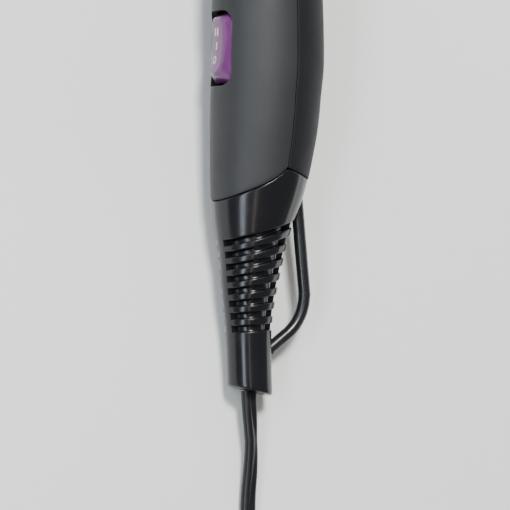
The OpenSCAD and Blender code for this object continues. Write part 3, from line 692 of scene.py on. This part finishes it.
def knuckle_outline():
    """The side view that the shells are trimmed to: a half round above the hinge."""
    arc = [(KNUCKLE_R * math.cos(a), KNUCKLE_R * math.sin(a)) for a in np.linspace(0, math.pi, 60)]
    return [(FAR, GRIP_FOOT), (FAR, 0)] + arc + [(-FAR, 0), (-FAR, GRIP_FOOT)]


ROCKER_DROP = 43.8
# Half width, half length and corner radius of the rocker's opening, and where its cut starts.
OPENING = (8.7, 13.5, 4.4)
OPENING_FROM = 8
GRIP_SCREWS = (63.5, 79.0)
BOSS_R = 4.6
BOSS_FROM = 1.0
BOSS_SHORT = 0.2
SCREW_HEAD_R = 3.2
SCREW_HEAD_SEAT = 5
SCREW_SHANK_R = 1.7


def add_screw_boss(shell, d):
    """A boss of the rear shell, d below the hinge, bored for its screw's head and shank."""
    centre, half_x, _ = (float(v) for v in grip_form(d))
    parting = centre - PARTING_BACK
    boss = prism(disc((0, -d), BOSS_R, 40), centre - half_x + BOSS_FROM, parting - BOSS_SHORT, 0)
    head = prism(disc((0, -d), SCREW_HEAD_R, 48), -FAR, parting - SCREW_HEAD_SEAT, 0)
    shank = prism(disc((0, -d), SCREW_SHANK_R, 24), -FAR, 10, 0)
    combine(shell, [cutter(boss)], "UNION")
    combine(shell, [cutter(head), cutter(shank)])


def make_shell(name, front, node, material):
    """One shell: its outside trimmed to the knuckle, hollowed, and cut for what it holds."""
    shell = loose(name, *about_hinge(solid_from_rings(shell_blank(front))))
    combine(shell, [cutter(prism(knuckle_outline(), -FAR, FAR, 1))], "INTERSECT")
    combine(shell, [cutter(solid_from_rings(oval_rings(np.arange(*CAVITY, CAVITY_STEP), WALL)))])
    combine(shell, fork_cutters())
    if front:
        opening = rounded_box(*OPENING, centre=(0, -ROCKER_DROP))
        combine(shell, [cutter(prism(opening, OPENING_FROM, FAR, 0))])
    else:
        for d in GRIP_SCREWS:
            add_screw_boss(shell, d)
    shell.data.transform(LAID)
    finish_piece(shell, "grip", material, sharp=32)
    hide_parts(node)


make_shell("grip_front_shell", True, "handle_front_shell", SHELL)
# The rear shell takes the darker copy of the shell's material, which is painted shade.
make_shell("grip_rear_shell", False, "handle_rear_shell", REAR_SHELL_PAINTED_SHADE)

# ---- the slotted cord boot ----

BOOT_END = 166.6
END_SLOPE = -12.3
CORD_EXIT_X = 7.3
SLOT_COUNT = 8
SLOT_FIRST = 110.2
SLOT_PITCH = 4.8
SLOT_LEAN = (15.0, 3.0)
SLOT_HALF = 1.15
RIB_ROUND = 0.5
# The two uncut spines that the slots leave, as where each starts and ends across the dryer.
FRONT_SPINE = (-0.8, 3.1)
REAR_SPINE = (-3.1, 0.4)
BOOT_INSET = 0.22
# How deep the slots are cut into the half width, and how much shallower the last one is.
SLOT_DEPTH = 2.7
SLOT_SHALLOWER = 0.5
SLOT_DEPTH_MEAN = 2.5
# Places beside a spine's edge, as (distance, share of the slot's depth), then at full depth.
SPINE_WALL = [(0.0, 0.0), (0.07, 0.1), (0.15, 0.45), (0.22, 0.86), (0.32, 1.0)]
BESIDE_SPINE = (0.8, 1.4)
ROUND_COLUMNS = 32
COLLAR_FLOOR = 101.3
END_ROUND = 1.0
END_START = 2.6
# The cord's hole: the radius and half spacing of its round sides and its depth, and the place
# of the end face's middle.
HOLE_R = CORD_T / 2
HOLE_HALF_SPACING = (CORD_W - CORD_T) / 2
HOLE_DEPTH = 6.0
END_CENTRE_X = 7.0


def boot_columns():
    """The boot's columns round its left side and then its right, as (kind, y or share, mask).

    Near the two spines a column keeps its place y across the dryer, so that the slots end in
    straight walls. Between them the columns share out the way round.
    """
    columns = []
    for side in (1, -1):
        front = FRONT_SPINE[1] if side > 0 else FRONT_SPINE[0]
        rear = REAR_SPINE[1] if side > 0 else REAR_SPINE[0]
        front_middle, rear_middle = sum(FRONT_SPINE) / 2, sum(REAR_SPINE) / 2
        half = [("front", front_middle + (front - front_middle) * f, 0.0) for f in (0.1, 0.4, 0.7)]
        half += [("front", front + side * (dy - 0.1), m) for dy, m in SPINE_WALL]
        half += [("front", front + side * dy, 1.0) for dy in BESIDE_SPINE]
        half += [("round", k / ROUND_COLUMNS, 1.0) for k in range(1, ROUND_COLUMNS)]
        half += [("rear", rear + side * dy, 1.0) for dy in reversed(BESIDE_SPINE)]
        half += [("rear", rear + side * (dy - 0.1), m) for dy, m in reversed(SPINE_WALL)]
        half += [("rear", rear_middle + (rear - rear_middle) * f, 0.0) for f in (0.7, 0.4, 0.1)]
        columns += half if side > 0 else half[::-1]
    return columns


COLUMNS = boot_columns()
COLUMN_LEFT = np.arange(len(COLUMNS)) < len(COLUMNS) // 2
COLUMN_MASK = np.array([c[2] for c in COLUMNS])
COLUMN_FRONT = np.array([c[0] == "front" for c in COLUMNS])
COLUMN_REAR = np.array([c[0] == "rear" for c in COLUMNS])
COLUMN_VALUE = np.array([c[1] for c in COLUMNS])
# Where the shared-out columns start and end across the dryer, on each column's own side.
SHARE_FROM = np.where(COLUMN_LEFT, FRONT_SPINE[1] + BESIDE_SPINE[1], FRONT_SPINE[0] - BESIDE_SPINE[1])
SHARE_TO = np.where(COLUMN_LEFT, REAR_SPINE[1] + BESIDE_SPINE[1], REAR_SPINE[0] - BESIDE_SPINE[1])


def angle_at(y, half_y):
    """The angle on the front of the boot at y across the dryer, kept off its widest place."""
    return np.arcsin(np.clip(y / half_y, -0.95, 0.95))


def column_angles(half_y):
    """The angle round the boot of each column, where the boot is half_y wide."""
    behind = np.where(COLUMN_LEFT, math.pi, -math.pi)
    start = angle_at(SHARE_FROM, half_y)
    stop = behind - angle_at(SHARE_TO, half_y)
    shared = start + (stop - start) * COLUMN_VALUE
    own = angle_at(COLUMN_VALUE, half_y)
    return np.where(COLUMN_FRONT, own, np.where(COLUMN_REAR, behind - own, shared))


def leaning_row(q, lean):
    """Distances and angles of the columns of a row, q down, that sinks forwards by lean degrees."""
    d = np.full(len(COLUMNS), float(q))
    centre_q = float(grip_form(float(q))[0])
    for _ in range(8):
        centre, half_x, half_y = grip_form(d)
        angles = column_angles(half_y)
        x = centre + half_x * np.cos(angles)
        d = 0.5 * d + 0.5 * (q + math.tan(math.radians(lean)) * (x - centre_q))
    return d, angles


def seam_row(offset):
    """Distances and angles of the columns along the seam, moved by offset."""
    d = np.full(len(COLUMNS), SEAM_ABOUT)
    for _ in range(12):
        _, _, half_y = grip_form(d)
        angles = column_angles(half_y)
        d = on_seam(np.cos(angles), offset)
    return d, angles


def boot_ring(d, angles, inset=0.0, cut_share=0.0, u=0.0):
    """A ring of the boot, pulled in by inset, and by a share of the way to the slots' floor.

    The floor is round, and u says how far along the slots it is, from 0 to 1.
    """
    centre, half_x, half_y = grip_form(d)
    core = half_y - SLOT_DEPTH + SLOT_SHALLOWER * u
    cut = cut_share * COLUMN_MASK
    half_x = (half_x - inset) * (1 - cut) + core * cut
    half_y = (half_y - inset) * (1 - cut) + core * cut
    return np.stack([centre + half_x * np.cos(angles), half_y * np.sin(angles), -d], axis=1)


def slot_profile():
    """Steps across half a slot, from its middle, as (distance, depth as a share of the whole)."""
    steps = [(0.0, 1.0), (0.45, 1.0), (0.8, 0.985), (0.98, 0.93), (1.06, 0.8)]
    for phi in np.radians([90, 68, 46, 24, 8]):
        away = SLOT_HALF - 0.03 + RIB_ROUND * (1 - math.sin(phi))
        steps.append((away, RIB_ROUND * (1 - math.cos(phi)) / SLOT_DEPTH_MEAN))
    steps.append((1.95, 0.0))
    return steps


def collar_rings():
    """Up the inside of the collar, over its rim, and down the outside to the first slot."""
    rim, rim_angles = seam_row(SEAM_GAP / 2)
    floor = np.full(len(COLUMNS), COLLAR_FLOOR)
    rings = [boot_ring(floor, column_angles(grip_form(floor)[2]), WALL + 0.1),
             boot_ring(rim + 0.05, rim_angles, WALL)]
    for phi in np.radians([0, 30, 60, 90]):
        inset = BOOT_INSET + EDGE_R * (1 - math.sin(phi))
        rings.append(boot_ring(rim + EDGE_R * (1 - math.cos(phi)), rim_angles, inset))
    low, low_angles = leaning_row(SLOT_FIRST - SLOT_PITCH / 2, SLOT_LEAN[0])
    for f in (0.04, 0.1, 0.2, 0.32, 0.44, 0.56, 0.68, 0.8, 0.9):
        d = (rim + EDGE_R) * (1 - f) + low * f
        rings.append(boot_ring(d, rim_angles * (1 - f) + low_angles * f, BOOT_INSET * (1 - f)))
    return rings


def slot_rings():
    """Down over the slots, which lean less and less towards the end."""
    profile = slot_profile()
    steps = [(-away, share) for away, share in reversed(profile)] + profile[1:]
    rings = []
    for k in range(SLOT_COUNT):
        for away, share in steps:
            lean = np.interp(k + away / SLOT_PITCH, (0, SLOT_COUNT - 1), SLOT_LEAN)
            d, angles = leaning_row(SLOT_FIRST + SLOT_PITCH * k + away, lean)
            rings.append(boot_ring(d, angles, 0, share, k / (SLOT_COUNT - 1)))
    return rings


def end_rings():
    """The plain end, which takes on the slope of the end face, and the cord's hole in it."""
    start = SLOT_FIRST + SLOT_PITCH * (SLOT_COUNT - 1) + END_START
    rings = []
    for f in np.linspace(0, 1, 12):
        lean = SLOT_LEAN[1] + (END_SLOPE - SLOT_LEAN[1]) * smooth_step(f)
        d, angles = leaning_row(start + (BOOT_END - END_ROUND - start) * f, lean)
        rings.append(boot_ring(d, angles))
    for phi in np.radians([18, 36, 54, 72, 90]):
        d, angles = leaning_row(BOOT_END - END_ROUND * (1 - math.sin(phi)), END_SLOPE)
        rings.append(boot_ring(d, angles, END_ROUND * (1 - math.cos(phi))))
    for depth, grow in ((0.0, 0.55), (0.25, 0.3), (HOLE_DEPTH, 0.2)):
        ring = []
        for a in angles:
            spread = HOLE_HALF_SPACING * np.clip(2.5 * math.cos(a), -1, 1)
            x = CORD_EXIT_X + spread + (HOLE_R + grow) * math.cos(a)
            face = BOOT_END + math.tan(math.radians(END_SLOPE)) * (x - END_CENTRE_X)
            ring.append((x, (HOLE_R + grow) * math.sin(a), depth - face))
        rings.append(np.array(ring))
    return rings


def make_boot():
    rings = collar_rings() + slot_rings() + end_rings()
    points, faces = about_hinge(solid_from_rings(rings, fans=True))
    boot = piece_from("slotted_boot", points, faces, "grip", BOOT, sharp=42)
    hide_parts("cord_boot")


make_boot()

# ---- the hanging loop ----

LOOP_TOP = (-11.7, -96.0)
LOOP_BEND = (3.1, -131.95)
LOOP_BEND_R = 18.0
LOOP_LEAN = 5.3
LOOP_TURN = 58.0
LOOP_RUN = 8.8
LOOP_R = 2.25
LOOP_SPACING = 0.8
LOOP_STEPS = 24
LOOP_SIDES = 28


def make_loop():
    """Straight down behind the boot, round one bend, and straight into the boot's end."""
    line = [(LOOP_TOP[0], 0, LOOP_TOP[1])]
    for k in range(LOOP_STEPS + 1):
        a = math.radians(180 - LOOP_LEAN + LOOP_TURN * k / LOOP_STEPS)
        line.append((LOOP_BEND[0] + LOOP_BEND_R * math.cos(a), 0,
                     LOOP_BEND[1] + LOOP_BEND_R * math.sin(a)))
    last = math.radians(LOOP_TURN - LOOP_LEAN)
    x, _, z = line[-1]
    line.append((x + LOOP_RUN * math.sin(last), 0, z - LOOP_RUN * math.cos(last)))
    line = smooth_path(line, LOOP_SPACING)

    def ring(_, p, ahead):
        side = Vector((0, 1, 0))
        up = side.cross(ahead).normalized()
        return [p + (side * math.cos(a) + up * math.sin(a)) * LOOP_R
                for a in np.linspace(0, 2 * math.pi, LOOP_SIDES, endpoint=False)]

    points, faces = about_hinge(tube(line, ring))
    loop = piece_from("hanging_loop_rod", points, faces, "grip", LOOP, sharp=60)
    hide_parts("hanging_loop")


make_loop()

# ---- the rocker ----

FOOT_X = 17.6
# The pressed face's least distance from the grip's middle line, how much it rises towards its
# two ends and falls towards its sides, for each square millimetre, and where it is lowest.
FACE_X = 19.82
FACE_HOLLOW = 0.0102
FACE_CROWN = 0.013
FACE_LOWEST_Z = 4.0
# Half width, top, bottom, top radius and bottom radius of the face's outline.
FACE_EDGE = (4.6, 10.2, -8.9, 2.6, 4.3)
# Rings of the rocker's foot, as (x, half width, half length, corner radius).
FOOT_LEVELS = [
    (9.0, 6.8, 10.6, 1.8), (15.6, 8.15, 12.2, 3.5), (17.1, 8.3, 12.45, 3.8),
    (FOOT_X - 0.1, 8.24, 12.39, 3.8), (FOOT_X + 0.14, 8.05, 12.2, 3.6),
]


def rocker_face(y, z):
    """How far out the pressed face lies: hollow along the grip, a little crowned across it."""
    return FACE_X + FACE_HOLLOW * (z - FACE_LOWEST_Z) ** 2 - FACE_CROWN * y * y


def rocker_outline(half_w, top, bottom, top_r, bottom_r):
    """Half an outline (y, z) from the middle of the bottom round to the middle of the top."""
    corner, side = 9, 10
    points = [((half_w - bottom_r) * f, bottom) for f in (0.25, 0.7)]
    for k in range(corner + 1):
        a = math.radians(-90 + 90 * k / corner)
        points.append((half_w - bottom_r + bottom_r * math.cos(a),
                       bottom + bottom_r + bottom_r * math.sin(a)))
    for k in range(1, side):
        points.append((half_w, bottom + bottom_r + (top - top_r - bottom - bottom_r) * k / side))
    for k in range(corner + 1):
        a = math.radians(90 * k / corner)
        points.append((half_w - top_r + top_r * math.cos(a), top - top_r + top_r * math.sin(a)))
    points += [((half_w - top_r) * f, top) for f in (0.66, 0.22)]
    return points


def grown_face(grow):
    half_w, top, bottom, top_r, bottom_r = FACE_EDGE
    return rocker_outline(half_w + grow, top + grow, bottom - grow, top_r + grow, bottom_r + grow)


def rocker_level(grow, sink):
    """The face's outline grown by grow, sink below the face's own surface."""
    return [(rocker_face(*e) - sink, y, z) for (y, z), e in zip(grown_face(grow), grown_face(0))]


def face_levels():
    """Rings of the pressed face, one inside the other, down to its middle."""
    middle_z = (FACE_EDGE[1] + FACE_EDGE[2]) / 2
    levels = []
    for f in (1.0, 0.86, 0.68, 0.48, 0.28, 0.1):
        ring = [(y * f, middle_z + (z - middle_z) * f) for y, z in grown_face(-0.3)]
        levels.append([(rocker_face(y, z), y, z) for y, z in ring])
    return levels


def make_rocker():
    levels = []
    for x, half_w, half_l, radius in FOOT_LEVELS:
        outline = rocker_outline(half_w, half_l, -half_l, radius, radius)
        levels.append([(x, y, z) for y, z in outline])
    # one ring near the top of the flanks, which are straight
    below_face = rocker_level(1.12, 0.5)
    levels.append([tuple(0.06 * np.array(a) + 0.94 * np.array(b))
                   for a, b in zip(levels[-1], below_face)])
    for grow, sink in ((1.0, 0.42), (0.32, 0.2), (0.12, 0.06), (-0.12, 0.0)):
        levels.append(rocker_level(grow, sink))
    levels += face_levels()
    rings = [mirrored([(x, y, z - ROCKER_DROP) for x, y, z in level]) for level in levels]
    points, faces = about_hinge(solid_from_rings(rings))
    rocker = piece_from("rocker_cap", points, faces, "rocker", ROCKER, sharp=34)
    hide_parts("rocker_switch")


# The printed marks' top lies this far above the face, and their bottom this far below it.
MARK_LIFT = 0.03
MARK_SINK = 0.12
# Half width and half height of a stroke, and the ring's inner and outer radii, across and up.
STROKE = (0.42, 1.36)
RING_RADII = ((0.78, 0.98), (1.28, 1.42))


def on_face(y, z, lift):
    """A point of the pressed face, moved out by lift."""
    return (rocker_face(y, z) + lift, y, z - ROCKER_DROP)


def add_patch(points, faces, rows):
    """Adds a thin slab that follows the face: rows of (y, z) pairs, its top and its rim."""
    start = len(points)
    r, c = len(rows), len(rows[0])
    for lift in (MARK_LIFT, -MARK_SINK):
        points += [on_face(y, z, lift) for row in rows for y, z in row]

    def top(i, j):
        return start + i * c + j

    def low(i, j):
        return start + r * c + i * c + j

    for i in range(r - 1):
        for j in range(c - 1):
            faces.append((top(i, j), top(i, j + 1), top(i + 1, j + 1), top(i + 1, j)))
            faces.append((low(i, j), low(i + 1, j), low(i + 1, j + 1), low(i, j + 1)))
    rim = [(i, 0) for i in range(r)] + [(r - 1, j) for j in range(1, c)]
    rim += [(i, c - 1) for i in range(r - 2, -1, -1)] + [(0, j) for j in range(c - 2, 0, -1)]
    for k, (i, j) in enumerate(rim):
        a, b = rim[(k + 1) % len(rim)]
        faces.append((top(i, j), top(a, b), low(a, b), low(i, j)))


def finish_mark(name, points, faces):
    points, faces = about_hinge((points, faces))
    piece_from(name, points, faces, "rocker", MARK, sharp=50)


def make_mark(name, centres):
    """Upright printed strokes on the rocker's face."""
    points, faces = [], []
    for y0, z0 in centres:
        rows = [[(y0 + STROKE[0] * s, z0 + STROKE[1] * t) for s in (-1, 0, 1)]
                for t in np.linspace(-1, 1, 7)]
        add_patch(points, faces, rows)
    finish_mark(name, points, faces)


def make_ring_mark(name, centre):
    """The printed ring on the rocker's face."""
    points, faces = [], []
    count = 32
    for lift in (MARK_LIFT, -MARK_SINK):
        for ry, rz in RING_RADII:
            for k in range(count):
                a = 2 * math.pi * k / count
                points.append(on_face(centre[0] + ry * math.cos(a), centre[1] + rz * math.sin(a), lift))
    for k in range(count):
        m = (k + 1) % count
        for a, b in ((0, 1), (1, 3), (3, 2), (2, 0)):
            faces.append((a * count + k, a * count + m, b * count + m, b * count + k))
    finish_mark(name, points, faces)


make_rocker()
make_mark("mark_two", [(-1.15, 6.0), (0.75, 6.0)])
make_mark("mark_one", [(-0.1, 0.9)])
make_ring_mark("mark_off", (-0.5, -4.1))

# ---- floor and light ----

FLOOR_HALF = 3.0


def make_floor():
    corners = [(-1, -1), (1, -1), (1, 1), (-1, 1)]
    floor = add_object("floor", [(FLOOR_HALF * x, FLOOR_HALF * y, 0) for x, y in corners], [(0, 1, 2, 3)])
    mat = bpy.data.materials.new("floor")
    mat.use_nodes = True
    shader = mat.node_tree.nodes["Principled BSDF"]
    shader.inputs["Base Color"].default_value = (0.90, 0.90, 0.88, 1)
    shader.inputs["Roughness"].default_value = 0.7
    floor.data.materials.append(mat)


def area_light(name, target, direction, distance, size, energy, colour):
    """A soft box of size (across, along), in metres, shining at a point of the dryer."""
    data = bpy.data.lights.new(name, "AREA")
    data.shape = "RECTANGLE"
    data.size, data.size_y = size
    data.energy = energy
    data.color = colour
    light = bpy.data.objects.new(name, data)
    bpy.context.scene.collection.objects.link(light)
    back = Vector(direction).normalized()
    along = (UP - back * UP.dot(back)).normalized()
    across = along.cross(back)
    turn = Matrix((across, along, back)).transposed().to_4x4()
    light.matrix_world = Matrix.Translation(target + back * distance) @ turn


WORLD_STRENGTH = 0.26
# Soft boxes, turned to the right of the camera and raised towards the barrel, in degrees, with
# their distance, size across and along, power and colour.
SOFT_BOXES = [
    ("light_key", -21, 0, 1.2, (0.26, 1.3), 8.5, (0.80, 0.90, 1.0)),
    ("light_warm", 9, 0, 1.6, (0.08, 1.5), 1.8, (1.0, 0.92, 0.72)),
    ("light_soft", 17, 30, 1.5, (0.3, 0.3), 28.0, (1.0, 1.0, 1.0)),
    ("light_left", -80, 0, 1.2, (0.4, 1.2), 9.0, (1.0, 1.0, 1.0)),
    ("light_right", 112, 5, 1.2, (0.12, 1.4), 2.0, (0.93, 0.96, 1.0)),
    ("light_top", 20, 78, 1.2, (1.0, 0.35), 7.0, (1.0, 1.0, 1.0)),
]
# The point of the grip that every soft box shines at.
LIT_POINT = (4, 0, -HINGE_DROP - 100)


def make_light():
    world = bpy.data.worlds.new("world")
    world.use_nodes = True
    background = world.node_tree.nodes["Background"]
    background.inputs["Color"].default_value = (1, 1, 1, 1)
    background.inputs["Strength"].default_value = WORLD_STRENGTH
    bpy.context.scene.world = world
    target = laid(*LIT_POINT)
    eye = (bpy.context.scene.camera.matrix_world.to_translation() - target).normalized()
    eye = (eye - UP * eye.dot(UP)).normalized()
    right = UP.cross(eye)
    for name, turn, rise, distance, size, energy, colour in SOFT_BOXES:
        direction = eye * math.cos(math.radians(turn)) + right * math.sin(math.radians(turn))
        direction = direction * math.cos(math.radians(rise)) + UP * math.sin(math.radians(rise))
        area_light(name, target, direction, distance, size, energy, colour)


make_floor()
make_light()
